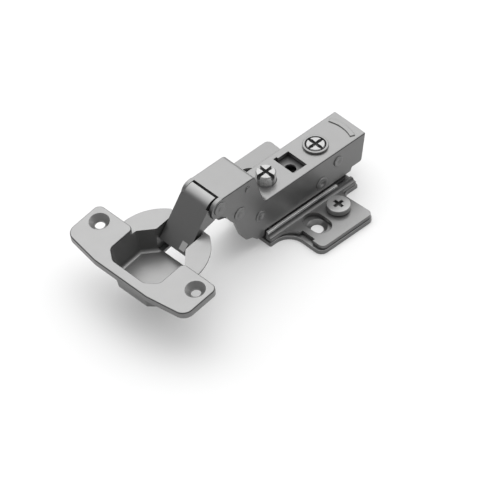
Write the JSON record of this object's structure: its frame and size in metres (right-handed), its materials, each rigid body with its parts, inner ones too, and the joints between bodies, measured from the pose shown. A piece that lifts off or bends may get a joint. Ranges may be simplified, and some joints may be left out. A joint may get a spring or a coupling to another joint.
{
  "type": "concealed cup hinge",
  "caption": "Cranked concealed cabinet hinge: flanged cup, folding link arms, sprung arm with adjusting screws, on a cross-shaped mounting plate.",
  "frame": {"origin": "middle between the two screw holes of the mounting plate, on its underside", "axes": "+X along the arm away from the cup, +Y along the cabinet's front edge, +Z away from the cabinet side"},
  "size_m": [0.1132, 0.0596, 0.0356],
  "materials": {
    "plate_metal": "satin nickel plate",
    "arm_metal": "satin nickel plate",
    "link_metal": "satin nickel plate",
    "cup_metal": "satin nickel on a cast cup",
    "screw_metal": "bright nickel",
    "pin_metal": "satin steel",
    "spring_wire": "drawn wire"
  },
  "bodies": {
    "mounting_plate": {"mounting_base": "plate_metal", "guide_rivets": "pin_metal"},
    "plate_slide": {"height_slide": "plate_metal", "clip_body": "plate_metal", "lever_pin": "pin_metal", "release_spring": "spring_wire"},
    "height_screw": {"height_cam": "screw_metal"},
    "catch_lever": {"release_lever": "plate_metal"},
    "carriage": {"slide_plate": "plate_metal"},
    "depth_screw": {"depth_cam": "screw_metal"},
    "side_screw": {"overlay_screw": "screw_metal"},
    "arm": {"hinge_arm": "arm_metal", "cam_bush": "screw_metal", "nose_pin": "pin_metal", "middle_pin": "pin_metal", "spring_pin": "pin_metal", "pivot_pin": "pin_metal", "stop_pin": "pin_metal", "link_spacers": "pin_metal", "closing_spring": "spring_wire"},
    "front_link": {"outer_link": "link_metal"},
    "rear_link": {"inner_link": "link_metal"},
    "cup": {"hinge_cup": "cup_metal", "link_studs": "pin_metal", "guide_pin": "pin_metal"}
  },
  "joints": [
    {"name": "height_shift", "type": "slide", "parent": "mounting_plate", "child": "plate_slide", "axis": [0, 1, 0], "range_m": [-0.0018, 0.0018]},
    {"name": "height_turn", "type": "hinge", "parent": "plate_slide", "child": "height_screw", "pos_m": [0.0105, -0.016, 0.0033], "axis": [0, 0, 1], "range_deg": [-50.01, 50.01]},
    {"name": "lever_press", "type": "hinge", "parent": "plate_slide", "child": "catch_lever", "pos_m": [0.023, 0, 0.0084], "axis": [0, -1, 0], "range_deg": [0, 12], "stiffness_Nm_per_rad": 0.01, "springref_deg": -11.46},
    {"name": "depth_shift", "type": "slide", "parent": "plate_slide", "child": "carriage", "axis": [1, 0, 0], "range_m": [-0.0015, 0.0015]},
    {"name": "depth_turn", "type": "hinge", "parent": "carriage", "child": "depth_screw", "pos_m": [0.0149, 0, 0.0177], "axis": [0, 0, 1], "range_deg": [-60.01, 60.01]},
    {"name": "side_turn", "type": "hinge", "parent": "carriage", "child": "side_screw", "pos_m": [-0.00974, 0, 0.0146], "axis": [0, 0, 1], "range_deg": [-350.01, 350.01]},
    {"name": "arm_tilt", "type": "hinge", "parent": "carriage", "child": "arm", "pos_m": [0.0185, 0, 0.0152], "axis": [0, 1, 0], "range_deg": [-2, 2]},
    {"name": "front_link_swing", "type": "hinge", "parent": "arm", "child": "front_link", "pos_m": [-0.0398, 0, 0.0312], "axis": [0, -1, 0], "range_deg": [0, 30]},
    {"name": "cup_fold", "type": "hinge", "parent": "front_link", "child": "cup", "pos_m": [-0.05162, 0, 0.01679], "axis": [0, -1, 0], "range_deg": [-130, 0]},
    {"name": "rear_link_swing", "type": "hinge", "parent": "arm", "child": "rear_link", "pos_m": [-0.0302, 0, 0.0224], "axis": [0, -1, 0], "range_deg": [0, 43]}
  ],
  "couplings": [
    {"joint": "height_turn", "follows": "height_shift", "rad_per_m": -484.81},
    {"joint": "depth_turn", "follows": "depth_shift", "rad_per_m": 698.13},
    {"joint": "side_turn", "follows": "arm_tilt", "ratio": -175},
    {"joint": "front_link_swing", "follows": "cup_fold", "ratio": -0.23077},
    {"joint": "rear_link_swing", "follows": "cup_fold", "ratio": -0.33077}
  ]
}
